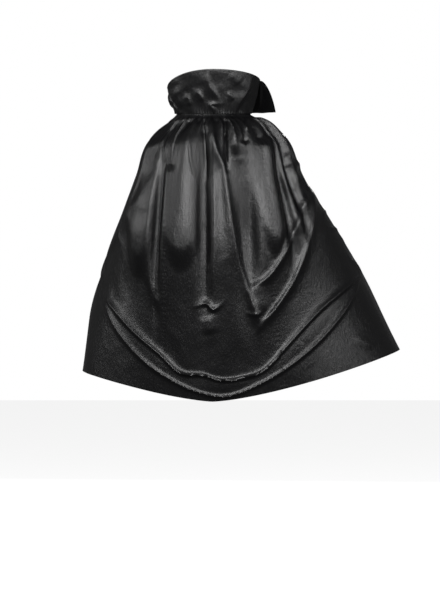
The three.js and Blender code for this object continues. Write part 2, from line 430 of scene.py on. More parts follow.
def label_tape(name):
    s = Shader(name)
    uv = s.uv()
    weave = weave_height(s, uv, 0.0006)
    patches = s.noise(uv, 60.0, 3.0)
    s.set(Base_Color=s.mix_colour(patches, (0.70, 0.69, 0.65, 1), (0.83, 0.82, 0.79, 1)))
    s.set(Roughness=s.spread(patches, 0.45, 0.6), Sheen_Weight=0.1, Normal=s.bump(weave, 0.0001, 0.6))
    return s.material


def thread(name, colour):
    s = Shader(name)
    twist = s.noise(s.place(), 3000.0, 2.0)
    s.set(Base_Color=s.mix_colour(twist, shade(colour, 0.7), shade(colour, 1.6)))
    s.set(Roughness=s.spread(twist, 0.6, 0.8), Specular_IOR_Level=0.25, Normal=s.bump(twist, 0.0002, 0.6))
    return s.material


CAPE_SATIN = satin("cape_satin", (0.0020, 0.0020, 0.0023))
COLLAR_SATIN = satin("collar_satin", (0.0022, 0.0022, 0.0025), gloss=0.36, crumple=1.2)
LINING_SATIN = satin("lining_satin", (0.0022, 0.0022, 0.0024), gloss=0.42, crumple=0.8)
BAND_SATIN = satin("band_satin", (0.0022, 0.0022, 0.0024), gloss=0.4, crumple=0.6)
FELT = felt("stiffener_felt", (0.06, 0.06, 0.062))
NYLON = nylon_pile("closure_nylon", (0.012, 0.012, 0.013))
TAPE = label_tape("label_tape")
THREAD = thread("black_thread", (0.006, 0.006, 0.0065))


# ---- camera, light and floor
def add_camera():
    """Level with the middle of the picture, straight behind the wearer."""
    distance = 8.0  # from the neck's middle
    subject = 0.04  # how far behind the neck's middle the picture's scale is taken
    frame_height = 1.373  # what the picture takes in there
    middle_x, middle_z = 0.015, -0.427
    camera = bpy.data.cameras.new("camera")
    camera.sensor_width = 36
    camera.lens = camera.sensor_width * (distance - subject) / frame_height
    obj = new_object("camera", camera)
    obj.location = (middle_x, -distance, middle_z)
    obj.rotation_euler = (math.radians(90), 0, 0)
    bpy.context.scene.camera = obj


# Each softbox's name, place, what it is aimed at, width, height and power in watts.
SOFTBOXES = (
    ("key", (-0.3, -3.2, 1.2), (0, 0, -0.3), 1.4, 0.8, 120),
    ("side", (2.4, -2.0, 0.7), (0, 0, -0.3), 0.7, 1.0, 36),
    ("left", (-3.0, -0.5, 0.8), (0, 0, -0.25), 0.9, 0.6, 30),
    ("front", (0.5, 3.2, 1.2), (0, 0, -0.3), 1.4, 0.8, 170),
)
WORLD_LIGHT = 0.10  # what the white surroundings give; the camera sees them at 1


def add_softbox(name, place, aim, width, height, power):
    light = bpy.data.lights.new(name, "AREA")
    light.shape = "RECTANGLE"
    light.size = width
    light.size_y = height
    light.energy = power
    obj = new_object(name, light)
    obj.location = place
    obj.rotation_euler = (Vector(aim) - Vector(place)).to_track_quat("-Z", "Y").to_euler()


def add_light():
    for softbox in SOFTBOXES:
        add_softbox(*softbox)
    world = bpy.data.worlds.new("studio")
    world.use_nodes = True
    tree = world.node_tree
    seen = tree.nodes.new("ShaderNodeLightPath").outputs["Is Camera Ray"]
    strength = tree.nodes.new("ShaderNodeMapRange")
    strength.inputs["To Min"].default_value = WORLD_LIGHT
    strength.inputs["To Max"].default_value = 1.0
    tree.links.new(seen, strength.inputs["Value"])
    background = tree.nodes["Background"]
    background.inputs["Color"].default_value = (1, 1, 1, 1)
    tree.links.new(strength.outputs["Result"], background.inputs["Strength"])
    bpy.context.scene.world = world
    bpy.context.scene.view_settings.view_transform = "Standard"


def add_floor():
    """A pale studio floor at the level of the wearer's soles, which throws no light on the cape."""
    s = Shader("studio_floor")
    grain = s.noise(s.place(), 40.0, 4.0)
    s.set(Base_Color=s.mix_colour(grain, (0.9, 0.9, 0.9, 1), (0.94, 0.94, 0.94, 1)), Roughness=0.8)
    s.set(Emission_Color=(1, 1, 1, 1), Emission_Strength=0.8)
    soles = -1.074
    half = 14
    corners = [(-half, -half, soles), (half, -half, soles), (half, half, soles), (-half, half, soles)]
    floor = mesh_object("floor", corners, [(0, 1, 2, 3)], s.material)
    floor.visible_diffuse = False
    floor.visible_glossy = False


# ---- cloth: the folds
# Each fold that runs straight down the cloth: where it is across the cape (u), its half width in u,
# its height in mm (a hollow is negative), how far down (t) it starts and ends, and over how much
# of t it fades out. A fold swells towards its end and closes in a U there.
PLEATS = (
    (-0.415, 0.080, 9, 0.04, 0.58, 0.12),
    (-0.300, 0.030, -20, 0.05, 0.62, 0.45),
    (-0.160, 0.080, 9, 0.10, 0.53, 0.10),
    (-0.042, 0.038, -19, 0.05, 0.62, 0.45),
    (0.0, 0.013, 3, 0.28, 0.60, 0.15),
    (0.140, 0.050, -24, 0.14, 0.62, 0.50),
    (0.262, 0.046, 9, 0.07, 0.50, 0.10),
    (0.345, 0.030, -16, 0.05, 0.52, 0.35),
    (0.375, 0.022, 6, 0.04, 0.30, 0.10),
    (0.430, 0.026, -8, 0.05, 0.45, 0.25),
)
# Each fold that runs its own way over the back: its path as x and z in mm, its height in mm, its
# half width above or left of the path and below or right of it, how sharp-sided it is, and by
# how much of its width it narrows towards its middle.
FOLDS = (
    # the two long ridges that swing from hand to hand, and the roll between them
    (((-257, -421), (-185, -503), (-122, -556), (-73, -598), (-20, -602), (19, -614), (67, -609),
      (120, -590), (178, -527), (251, -449), (345, -372)), 5.5, 12, 4, 1.3, 0.65),
    (((-252, -435), (-224, -497), (-170, -561), (-112, -604), (-40, -638), (31, -650), (106, -623),
      (178, -580), (251, -518), (314, -440), (345, -372)), 4.5, 8, 4, 1.3, 0.5),
    (((-245, -440), (-170, -535), (-60, -618), (31, -630), (115, -606), (210, -520), (320, -410)),
     1.5, 20, 20, 2, 0),
    # the ridges that fall from the right arm and meet in a point
    (((-6, -16), (6, -80), (25, -129), (37, -208), (48, -272), (62, -336), (80, -400), (108, -490)),
     8, 7, 15, 1.5, 0),
    (((231, -172), (226, -260), (197, -357), (153, -435), (108, -490)), 7, 11, 5, 1.4, 0),
    (((222, -172), (183, -285), (134, -368), (95, -400)), 6, 11, 6, 1.5, 0),
    (((96, -380), (104, -430), (108, -470)), 6, 18, 16, 2, 0),
    # pleats at the neck seam that lean aside
    (((27, -14), (28, -80), (32, -133)), -8, 4, 4, 2.5, 0),
    (((-22, -12), (-18, -80), (-14, -150)), -6, 7, 7, 2, 0),
    (((38, -16), (48, -70), (58, -104)), 6, 12, 12, 2, 0),
    # small folds under the right shoulder's gathers
    (((76, -10), (77, -44)), 4, 4, 4, 1.5, 0),
    (((178, -84), (179, -126)), -5, 6, 6, 3, 0),
    (((192, -170), (197, -116), (207, -104), (214, -125)), 4, 5, 5, 1.6, 0),
    # the puckered seam left of the middle
    (((-53, -58), (-50, -110), (-40, -165)), 2.5, 2.5, 2.5, 2, 0),
    # crumples where the cloth folds back on itself
    (((-34, -446), (-14, -440), (2, -453), (22, -441)), 5, 8, 2.5, 1.4, 0),
    (((-14, -462), (-4, -512)), 3.5, 18, 16, 1.8, 0),
    (((84, -462), (100, -464), (112, -456)), 4, 6, 3, 1.4, 0),
    (((240, -172), (262, -205), (256, -238)), 5, 7, 5, 1.6, 0),
    (((268, -262), (292, -268), (308, -300)), 4, 8, 4, 1.5, 0),
    (((318, -330), (338, -352), (346, -372)), 3, 7, 4, 1.5, 0),
    (((322, -505), (350, -528), (378, -532)), 2.5, 15, 12, 2, 0),
)
# Each pocket under the gathers: its path, its depth in mm, its half widths and its sharpness, as
# above. The cloth leans in more and more down its path, and comes out again over the lower rim.
POCKETS = (
    (((-92, -26), (-95, -70), (-100, -116)), 7, 16, 16, 2),
    (((98, -16), (113, -52)), 11, 17, 15, 2.6),
    (((70, -20), (72, -62)), 7, 9, 8, 2.1),
)


FADE_LENGTH = 40 * MM  # how far a fold fades at each end,
FADE_SHARE = 0.35  # if it is long enough that this share of it is no less
END_HEIGHT = 0.25  # what it keeps of its height at the very end
ROUND_PLEATS = 13  # how many uneven pleats go round the neck


def smooth_path(points):
    """A smooth curve through the points, as many short straight steps."""
    path = np.array(points, float)
    if len(path) == 2:
        path = np.stack([path[0], path.mean(0), path[1]])
    return refine(refine(path, 0, 3), 0, 3)


def beside_path(points, x, z):
    """For places x, z on the back: how far off a path they lie, on which side, and how far along it."""
    path = smooth_path(points) * MM
    step = np.diff(path, axis=0)
    length = np.linalg.norm(step, axis=1)
    run = np.concatenate([[0], np.cumsum(length)])
    off = np.full(x.shape, np.inf)
    side = np.zeros(x.shape)
    along = np.zeros(x.shape)
    for k in range(len(step)):
        dx, dz = x - path[k, 0], z - path[k, 1]
        share = np.clip((dx * step[k, 0] + dz * step[k, 1]) / length[k] ** 2, 0, 1)
        gap = np.hypot(dx - share * step[k, 0], dz - share * step[k, 1])
        nearer = gap < off
        off = np.where(nearer, gap, off)
        side = np.where(nearer, step[k, 0] * dz - step[k, 1] * dx, side)
        along = np.where(nearer, run[k] + share * length[k], along)
    return off, side, along, run[-1]


def fold_height(fold, x, z):
    """How far one fold lifts the cloth at places x, z on the back."""
    points, height, above, below, sharpness, pinch = fold
    off, side, along, run = beside_path(points, x, z)
    width = np.where(side > 0, above, below) * MM * (1 - pinch * np.sin(math.pi * along / run))
    fade_length = min(FADE_LENGTH, FADE_SHARE * run)
    fade = ease(along / fade_length) * ease((run - along) / fade_length)
    fade = END_HEIGHT + (1 - END_HEIGHT) * fade
    return height * MM * fade * np.exp(-((off / width) ** sharpness))


def pocket_depth(pocket, x, z):
    """How far one pocket sinks the cloth at places x, z on the back."""
    points, depth, above, below, sharpness = pocket
    off, side, along, run = beside_path(points, x, z)
    width = np.where(side > 0, above, below) * MM
    return depth * MM * (along / run) ** 1.5 * np.exp(-((off / width) ** sharpness))


def pleat_height(pleat, u, t):
    """How far one straight fold lifts the cloth."""
    centre, half_width, height, start, end, fading = pleat
    aside = np.abs((u - centre) / half_width)
    top = ease((t - start + 0.04) / 0.08)
    run = (t - start) / (end - start)
    if height > 0:
        swell = 0.5 + 0.5 * np.clip(run, 0, 1)
    else:
        swell = 0.3 + 0.7 * ease(run / 0.7)
    below = t - end + 0.06 * np.minimum(aside, 1.5) ** 2  # its end is a U
    return height * MM * top * swell * (1 - ease(below / fading + 0.5)) * np.exp(-aside ** 2.6)


def round_pleats(u, t):
    """Uneven pleats all round the neck, weaker at the back where the named folds are."""
    uneven = u / 2 + 0.012 * np.sin(9 * u + 1) + 0.006 * np.sin(23 * u)
    wave = np.cos(2 * math.pi * ROUND_PLEATS * uneven)
    front = ease((np.abs(u) - 0.30) / 0.15)
    depth = 3.0 + 4.0 * front
    longest = 0.45 + 0.1 * np.sin(5 * u + 1) + 0.25 * ease((np.abs(u) - 0.6) / 0.3)
    return depth * MM * (wave - 0.9 * front) * ease(t / 0.08) * (1 - ease((t - longest + 0.3) / 0.3))


def folded_cape(u, t):
    """The cape with its folds, as the hands hold it."""
    smooth = cape_surface(u, t)
    x, z = smooth[..., 0], smooth[..., 2]
    height = round_pleats(u, t)
    for pleat in PLEATS:
        height = height + pleat_height(pleat, u, t)
    behind = ease((np.cos(np.radians(u * station_curve(t, "wrap"))) + 0.05) / 0.15)
    across = sum(fold_height(fold, x, z) for fold in FOLDS)
    across = across - sum(pocket_depth(pocket, x, z) for pocket in POCKETS)
    height = height + behind * across
    normals = grid_normals(smooth, np.array((0, 0.03, 0)))
    return smooth + normals * (height * ease(t / 0.03))[..., None]


# ---- cloth: the drape
ACROSS = 180  # steps of the grid that settles; the finished one has twice as many
DOWN = 120


def cut_width(t):
    return CUT_WIDTH_TOP + (CUT_WIDTH_HEM - CUT_WIDTH_TOP) * t


def neck_rows(points, u):
    """Sews the cloth's top edge to the neckband: it goes up behind the collar's foot."""
    degrees = CAPE["wrap"][0] * u
    points[0] = neck_point(degrees[0], 1.3 * MM, 3.5 * MM)
    points[1] = neck_point(degrees[1], 1.7 * MM, -1 * MM)
    return points


def draped_cape():
    """The whole cape as one grid of points, with u and t of each."""
    u, t = np.meshgrid(np.linspace(-1, 1, 2 * ACROSS + 1), np.linspace(0, 1, 2 * DOWN + 1))
    points = neck_rows(folded_cape(u, t), u)
    coarse = np.s_[::2, ::2]
    moves = settling_moves(points[coarse], u[coarse], t[coarse])
    points = points + refine(refine(moves, 0), 1)
    return points, u, t


# ---- cloth: settling under its weight
SETTLE_FRAMES = 24
SETTLE_LIMIT = 6 * MM  # how far a point may move
SETTLE_SMOOTHING = 2  # passes that take out ripples as small as the mesh
GRIP_WIDTH = 0.028  # how much of the half width, and of the length, a hand holds
GRIP_HEIGHT = 0.022
# What the cloth lies on while it settles: a plain dressmaker's form, as chains of balls, each with
# its middle in mm and its radius in mm. It is drawn on the wearer's right, and it isn't kept.
FORM = (
    ((0, 0, 20, 45), (0, 0, -50, 50)),
    ((50, 0, -60, 45), (102, 0, -88, 38)),
    ((102, 0, -88, 38), (175, -10, -236, 32), (238, 115, -365, 26)),
    ((50, -5, -130, 72), (40, 0, -300, 66), (45, -5, -420, 80), (60, 0, -600, 60), (70, 0, -750, 50)),
)


def form_balls():
    """The form's balls on both sides, close enough together to make one smooth body."""
    balls = []
    for chain in FORM:
        stops = np.array(chain) * MM
        for start, end in zip(stops[:-1], stops[1:]):
            count = max(2, int(np.linalg.norm(end[:3] - start[:3]) / (12 * MM)))
            balls += [start + (end - start) * k / count for k in range(count + 1)]
    return balls + [ball * (-1, 1, 1, 1) for ball in balls]


def dress_form():
    bm = bmesh.new()
    for ball in form_balls():
        made = bmesh.ops.create_icosphere(bm, subdivisions=2, radius=ball[3])
        bmesh.ops.translate(bm, vec=ball[:3], verts=made["verts"])
    mesh = bpy.data.meshes.new("form")
    bm.to_mesh(mesh)
    bm.free()
    form = new_object("form", mesh)
    skin = form.modifiers.new("skin", "REMESH")
    skin.mode = "VOXEL"
    skin.voxel_size = 11 * MM
    bake_modifiers(form)
    form.modifiers.new("collision", "COLLISION")
    form.collision.thickness_outer = 4 * MM
    form.collision.cloth_friction = 0.2
    return form


# Light satin that is hard to stretch and easy to bend.
CLOTH = {
    "quality": 6, "mass": 0.0002, "tension_stiffness": 15, "compression_stiffness": 9,
    "shear_stiffness": 4.5, "bending_stiffness": 2, "tension_damping": 5, "compression_damping": 5,
    "shear_damping": 3, "vertex_group_mass": "held",
}


def add_cloth(obj):
    cloth = obj.modifiers.new("cloth", "CLOTH")
    for key, value in CLOTH.items():
        setattr(cloth.settings, key, value)
    cloth.collision_settings.collision_quality = 3
    cloth.collision_settings.distance_min = 3 * MM
    cloth.point_cache.frame_start = 1
    cloth.point_cache.frame_end = SETTLE_FRAMES


def settling_moves(points, u, t):
    """How far the cloth's own weight moves each point, with the neck seam and both hands holding it."""
    mesh = bpy.data.meshes.new("settling")
    mesh.from_pydata(points.reshape(-1, 3).tolist(), [], grid_faces(*points.shape[:2]).tolist())
    obj = new_object("settling", mesh)
    gripped = (np.abs(u) > 1 - GRIP_WIDTH) & (np.abs(t - GRIP_AT) < GRIP_HEIGHT)
    sewn = t < 1.5 / DOWN
    held = np.flatnonzero((gripped | sewn).reshape(-1))
    obj.vertex_groups.new(name="held").add(held.tolist(), 1.0, "REPLACE")
    form = dress_form()
    add_cloth(obj)
    scene = bpy.context.scene
    for frame_number in range(1, SETTLE_FRAMES + 1):
        scene.frame_set(frame_number)
    bake_modifiers(obj)
    settled = np.empty(points.size, np.float32)
    obj.data.vertices.foreach_get("co", settled)
    for extra in (obj, form):
        bpy.data.objects.remove(extra)
    scene.frame_set(1)
    moves = settled.reshape(points.shape) - points
    for _ in range(SETTLE_SMOOTHING):
        moves[1:-1] = (moves[:-2] + 2 * moves[1:-1] + moves[2:]) / 4
        moves[:, 1:-1] = (moves[:, :-2] + 2 * moves[:, 1:-1] + moves[:, 2:]) / 4
    length = np.linalg.norm(moves, axis=-1, keepdims=True)
    return moves * SETTLE_LIMIT * np.tanh(length / SETTLE_LIMIT) / np.maximum(length, 1e-9)


# ---- cloth: gathers, seams, panels
def gathers(u, t):
    """Small puckers under the neck seam, finer than the pleats, that die out further down."""
    phase = 2 * math.pi * (17 * u + 0.35 * np.sin(11 * u) + 0.25 * np.sin(29 * u + 2))
    strong = 0.55 + 0.45 * np.sin(13 * u + 1.3) * np.sin(5.1 * u)
    fade = ease((t - 0.008) / 0.02) * np.exp(-np.maximum(t - 0.03, 0) / (0.065 + 0.03 * np.sin(17 * u)))
    ridges = 1 - 2 * np.abs(np.sin(phase / 2)) ** 0.8
    return 4.8 * MM * strong * fade * ridges


def seam_pucker(u, t):
    """The side seams pull the cloth in along their line, with small puckers across it."""
    total = 0
    for seam in (-SIDE_SEAM, SIDE_SEAM):
        away = (u - seam) * CUT_WIDTH_HEM / 2
        puckers = 0.5 * np.sin(t * CUT_LENGTH / 0.011 * 2 * math.pi + 3 * np.sin(t * 40))
        total = total - 0.35 * MM * (1 + puckers) * np.exp(-((away / 0.006) ** 2)) * ease(t / 0.05)
    return total


def cape_grid():
    points, u, t = draped_cape()
    middle = np.array((0, 0.03, 0))
    normals = grid_normals(points, middle)
    height = gathers(u, t) + seam_pucker(u, t)
    points = points + normals * height[..., None]
    return points, grid_normals(points, middle), u, t


def cloth_layers(u, t):
    """One layer of cloth, three where it is hemmed, four at its corners, two along the side seams."""
    from_hem = (1 - t) * CUT_LENGTH
    from_edge = (1 - np.abs(u)) * cut_width(t) / 2
    from_seam = np.abs(np.abs(u) - SIDE_SEAM) * cut_width(t) / 2
    layers = 1 + 2 * (from_hem < HEM) + 2 * (from_edge < EDGE_HEM)
    return np.maximum(np.minimum(layers, 4), 1 + (from_seam < SEAM_ALLOWANCE))


def sewn_hem(points, normals, first, last):
    """Rows of stitches that hold the hem, and on the side panels the front edge."""
    row = round(2 * DOWN * (1 - HEM_STITCH / CUT_LENGTH))
    lines = [np.s_[row, first + 1:last]]
    if first == 0:
        lines.append(np.s_[EDGE_STITCH_TOP:row, EDGE_STITCH])
    if last == 2 * ACROSS:
        lines.append(np.s_[EDGE_STITCH_TOP:row, last - EDGE_STITCH])
    rows = []
    for line in lines:
        rows.append(stitches("row", points[line], normals[line]))
        rows.append(stitches("row", points[line] - normals[line] * 3 * CLOTH_THICKNESS, -normals[line]))
    return rows


def add_panels():
    points, normals, u, t = cape_grid()
    seam = round(SIDE_SEAM * ACROSS)
    spans = {
        "left_side_panel": (0, ACROSS - seam, "left_side"),
        "centre_back_panel": (ACROSS - seam, ACROSS + seam, None),
        "right_side_panel": (ACROSS + seam, 2 * ACROSS, "right_side"),
    }
    thickness = CLOTH_THICKNESS * cloth_layers(u, t)
    uv = np.stack([u * cut_width(t) / 2, -t * CUT_LENGTH], -1)
    for name, (first, last, body) in spans.items():
        part = np.s_[:, first:last + 1]
        cloth = closed_sheet("cloth", points[part], normals[part], 0, -thickness[part], uv[part], CAPE_SATIN)
        panel = join("satin_" + name, [cloth] + sewn_hem(points, normals, first, last))
        if body:
            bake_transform(panel)
            stand_for(panel, [name])
        else:
            stand_for(panel, [name], "back")


# ---- collar
COLLAR_ROUND = 1.5  # mm of cloth for each degree round
COLLAR_LAYER_OUT = 1 * MM  # how far each satin layer lies from the felt between them
COLLAR_CLOTH = 0.5 * MM
FELT_THICKNESS = 0.8 * MM
WELD = 0.01 * MM  # points nearer than this are one
FREE_RIM = 3.5 * MM  # the rim above this height isn't sewn to the neckband
RIM_WIDTH = 9 * MM  # over this width the layers close up towards their free rim,
RIM_SHARE = 0.3  # to this share of their distance


def turned(points, origin, axis, degrees):
    rotation = np.array(Matrix.Rotation(math.radians(degrees), 3, Vector(axis)))
    return (points - origin) @ rotation.T + origin


def fold_axis(side):
    axis = SIDES[side]["fold_top"] - FOLD_BOTTOM
    return axis / np.linalg.norm(axis)


def collar_top(degrees, side):
    """The top edge out to the fold, and then the fold line down to the front edge, on the right."""
    fold_top = SIDES[side]["fold_top"]
    angle = np.radians(np.minimum(degrees, COLLAR_FOLD_START))
    reach = NECK_HALF_DEPTH + COLLAR_LEAN + fold_top[1]
    x = fold_top[0] * np.sin(angle)
    y = fold_top[1] - reach * np.cos(angle)
    z = fold_top[2] + (COLLAR_HEIGHT - fold_top[2]) * np.cos(angle)
    down = np.clip((degrees - COLLAR_FOLD_START) / (COLLAR_END - COLLAR_FOLD_START), 0, 1)[..., None]
    return np.stack([x, y, z], -1) + (FOLD_BOTTOM - fold_top) * down


def point_edge(share, side):
    """The free top edge of the collar point, from the fold's top to the tip, bowed outward."""
    fold_top = SIDES[side]["fold_top"]
    to_tip = POINT_TIP - fold_top
    normal = np.cross(FOLD_BOTTOM - fold_top, to_tip)
    bow = -np.cross(to_tip, normal)
    bow /= np.linalg.norm(bow)
    return fold_top + to_tip * share + bow * (POINT_BOW * 2.9 * np.sqrt(share) * (1 - share))


# Each fold and crease of the collar: its path in degrees round from centre back (the wearer's
# right is positive) and share of the height, its height in mm, its half width in mm on the upper
# or left side and on the other, how sharp-sided it is, and how much it narrows in its middle.
COLLAR_FOLDS = (
    (((56, 0.92), (53, 0.62), (42, 0.30), (34, 0.0)), 4.5, 4, 20, 1.4, 0),
    (((86, 0.80), (82, 0.50), (84, 0.10)), 2, 4, 4, 1.5, 0),
    (((-8, 1.0), (-6, 0.67), (4, 0.40), (9, 0.22)), 3.2, 5, 12, 1.5, 0),
    (((9, 0.22), (-3, 0.20), (-1, 0.10), (-2, 0.0)), 2.4, 5, 5, 1.5, 0),
    (((-27, 0.56), (-20, 0.46), (-13, 0.25)), 2.6, 5, 8, 1.5, 0),
    (((-44, 0.50), (-37, 0.36), (-36, 0.15)), 2.8, 5, 11, 1.5, 0),
    (((18, 0.46), (24, 0.42), (30, 0.30)), 2.4, 5, 7, 1.5, 0),
    (((20, 0.92), (30, 0.80), (38, 0.70)), 2.2, 12, 12, 2, 0),
    (((-86, 0.66), (-80, 0.38), (-70, 0.14), (-68, 0.0)), 3, 5, 4, 1.5, 0),
    (((-80, 0.60), (-74, 0.36), (-66, 0.10)), 2.5, 4, 4, 1.5, 0),
    (((-60, 0.8), (-58, 0.45), (-52, 0.1)), 2.5, 14, 14, 2, 0),
    (((-92, 0.80), (-88, 0.20)), 6, 34, 34, 2, 0),
)


def collar_height(degrees, height):
    """How far the collar's folds, the small puckers at its foot and its waviness lift it."""
    across = degrees * COLLAR_ROUND * MM
    up = height * COLLAR_HEIGHT
    lift = 0
    for points, *shape in COLLAR_FOLDS:
        path = [(d * COLLAR_ROUND, h * COLLAR_HEIGHT / MM) for d, h in points]
        lift = lift + fold_height((path, *shape), across, up)
    puckers = np.cos(across / (6.5 * MM) * 2 * math.pi + 2.5 * np.sin(across / (19 * MM)))
    foot = np.exp(-up / (7 * MM)) * (0.6 + 0.4 * np.sin(across / (31 * MM) + 1))
    waves = np.sin(across / (11 * MM) + 2 * np.sin(up / (17 * MM)))
    waves = waves * np.cos(up / (11 * MM) + across / (30 * MM))
    edge_roll = np.exp(-(((1 - height) * COLLAR_HEIGHT - 3 * MM) / (1.6 * MM)) ** 2)
    return lift + (1.3 * foot * puckers + 0.45 * waves + 0.35 * edge_roll) * MM


def collar_body(side, degrees, heights):
    """The part of half the collar that stands up, as a grid. It is drawn on the wearer's right."""
    d, h = np.meshgrid(degrees, heights, indexing="ij")
    base = neck_point(d, COLLAR_OUT, COLLAR_BASE)
    grid = base + (collar_top(d, side) - base) * h[..., None]
    lift = collar_height(d * SIDES[side]["sign"], h)
    past_fold = ease((d - COLLAR_FOLD_START + 10) / 20)
    on_fold = 1 - past_fold * ease((h - 0.6) / 0.4)
    return grid + grid_normals(grid, np.zeros(3)) * (lift * on_fold)[..., None], d, h


def collar_flap(side, shares, outs):
    """The collar point beyond the fold, as a grid. It is drawn on the wearer's right."""
    s, o = np.meshgrid(shares, outs, indexing="ij")
    fold_top = SIDES[side]["fold_top"]
    on_fold = fold_top + (FOLD_BOTTOM - fold_top) * s[..., None]
    grid = on_fold + (point_edge(s[..., None], side) - on_fold) * o[..., None]
    normal = np.cross(FOLD_BOTTOM - fold_top, POINT_TIP - fold_top)
    normal /= np.linalg.norm(normal)
    wave = np.sin(6 * s + 4 * o) * np.sin(math.pi * o) + 0.6 * np.sin(14 * o - 5 * s) * o * (1 - o) * 2
    crease = 2.5 * np.exp(-(((o - 0.22 - 0.1 * s) / 0.07) ** 2)) * np.sin(math.pi * s)
    grid = grid + normal * ((1.2 * wave + crease) * MM)[..., None]
    return turned(grid, FOLD_BOTTOM, fold_axis(side), SIDES[side]["turn"]), s, o


def collar_mesh(side, body=None, flap=None):
    """Half the collar as one sheet, folded along its crease: vertices, faces and uvs."""
    parts = []
    if body is not None:
        grid, d, h = collar_body(side, *body)
        uv = np.stack([d * COLLAR_ROUND * MM, h * COLLAR_HEIGHT], -1)
        parts.append((grid, uv))
    if flap is not None:
        grid, s, o = collar_flap(side, *flap)
        uv = np.stack([(COLLAR_FOLD_START + 50 * s) * COLLAR_ROUND * MM, (1 + 0.6 * o) * COLLAR_HEIGHT], -1)
        parts.append((grid, uv))
    vertices, faces, uvs, count = [], [], [], 0
    for grid, uv in parts:
        vertices.append(grid.reshape(-1, 3) * np.array((SIDES[side]["sign"], 1, 1)))
        faces.append(grid_faces(*grid.shape[:2]) + count)
        uvs.append(uv.reshape(-1, 2))
        count += grid[..., 0].size
    return np.concatenate(vertices), np.concatenate(faces), np.concatenate(uvs)


def collar_layer(name, side, offset, thickness, material, body=None, flap=None):
    """One layer of half the collar: set outward from its middle, but closed up along its free edges."""
    vertices, faces, uvs = collar_mesh(side, body, flap)
    mesh = new_mesh(name, vertices, faces, material, uvs)
    obj = new_object(name, mesh)
    bm = bmesh.new()
    bm.from_mesh(mesh)
    bmesh.ops.remove_doubles(bm, verts=bm.verts, dist=WELD)
    bmesh.ops.dissolve_degenerate(bm, edges=bm.edges, dist=WELD)
    bmesh.ops.recalc_face_normals(bm, faces=bm.faces)
    away = sum(f.normal.xy.dot(f.calc_center_median().xy) * f.calc_area() for f in bm.faces)
    if away < 0:
        bmesh.ops.reverse_faces(bm, faces=bm.faces)
    bm.normal_update()
    rim = [v for v in bm.verts if v.is_boundary and abs(v.co.x) > 0.1 * MM and v.co.z > FREE_RIM]
    if offset:
        tree = KDTree(len(rim))
        for i, vertex in enumerate(rim):
            tree.insert(vertex.co, i)
        tree.balance()
        shares = [RIM_SHARE + (1 - RIM_SHARE) * float(ease(tree.find(v.co)[2] / RIM_WIDTH)) for v in bm.verts]
        moves = [v.normal * offset * share for v, share in zip(bm.verts, shares)]
        for vertex, move in zip(bm.verts, moves):
            vertex.co += move
    bm.to_mesh(mesh)
    bm.free()
    shell = obj.modifiers.new("shell", "SOLIDIFY")
    shell.thickness = thickness
    shell.offset = 0
    bake_modifiers(obj)
    obj.data.set_sharp_from_angle(angle=math.radians(70))
    return obj


def fold_ends(side, reach):
    """A start and end across the collar's fold, so that the body is behind it and the point ahead."""
    sign, turn = SIDES[side]["sign"], SIDES[side]["turn"]
    axis = fold_axis(side)
    middle = (SIDES[side]["fold_top"] + FOLD_BOTTOM) / 2
    ahead = turned(point_edge(0.5, side), FOLD_BOTTOM, axis, turn) - middle
    behind = neck_point(np.array(115.0), COLLAR_OUT, COLLAR_BASE) - middle
    across = ahead / np.linalg.norm(ahead) - behind / np.linalg.norm(behind)
    across -= axis * across.dot(axis)
    across /= np.linalg.norm(across)
    mirror = np.array((sign, 1, 1))
    return tuple((middle - across * reach) * mirror), tuple((middle + across * reach) * mirror)


def add_collar():
    round_steps = np.linspace(0, COLLAR_END, 141)
    up_steps = np.linspace(0, 1, 56)
    past_fold = round_steps[round_steps >= COLLAR_FOLD_START - 0.01]
    fold_shares = (past_fold - COLLAR_FOLD_START) / (COLLAR_END - COLLAR_FOLD_START)
    out_steps = np.linspace(0, 1, 28)
    for side in SIDES:
        for layer, out, material, slot in (
            ("outer", COLLAR_LAYER_OUT, COLLAR_SATIN, "collar_satin"),
            ("lining", -COLLAR_LAYER_OUT, LINING_SATIN, "collar_lining"),
        ):
            name = f"collar_{layer}_satin_{side}"
            body, flap = (round_steps, up_steps), (fold_shares, out_steps)
            piece = collar_layer(name, side, out, COLLAR_CLOTH, material, body, flap)
            fold_ends(side, 4 * MM)
            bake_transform(piece)
            stand_for(piece, [f"collar_{layer}_{side}", f"collar_point_{layer}_{side}"])


def add_stiffeners():
    """Stiff felt between the satin layers: one piece round the back, and one in each point."""
    halves = []
    for side in SIDES:
        body = (np.linspace(0, 88, 60), np.linspace(0.07, 0.94, 30))
        halves.append(collar_layer(f"felt_{side}", side, 0, FELT_THICKNESS, FELT, body))
        flap = (np.linspace(0.16, 0.9, 18), np.linspace(0.12, 0.86, 14))
        point = collar_layer(f"point_felt_{side}", side, 0, FELT_THICKNESS, FELT, flap=flap)
        stand_for(point, [f"collar_point_stiffener_{side}"], side + "_collar_point")
    felt_back = join("collar_felt", halves)
    stand_for(felt_back, ["collar_stiffener"], "back")


# ---- neckband, closure and labels
BAND_AROUND = 16  # points round a band's outline


def band_section(degrees, middle, thick, bottom, height):
    """The outline of a folded band where it crosses the neck seam `degrees` round."""
    outline = []
    for k in range(BAND_AROUND):
        angle = 2 * math.pi * k / BAND_AROUND
        out = middle + thick / 2 * math.copysign(abs(math.cos(angle)) ** 0.6, math.cos(angle))
        up = bottom + height / 2 + height / 2 * math.copysign(abs(math.sin(angle)) ** 0.3, math.sin(angle))
        outline.append(neck_point(np.array(float(degrees)), out, up))
    return np.array(outline)


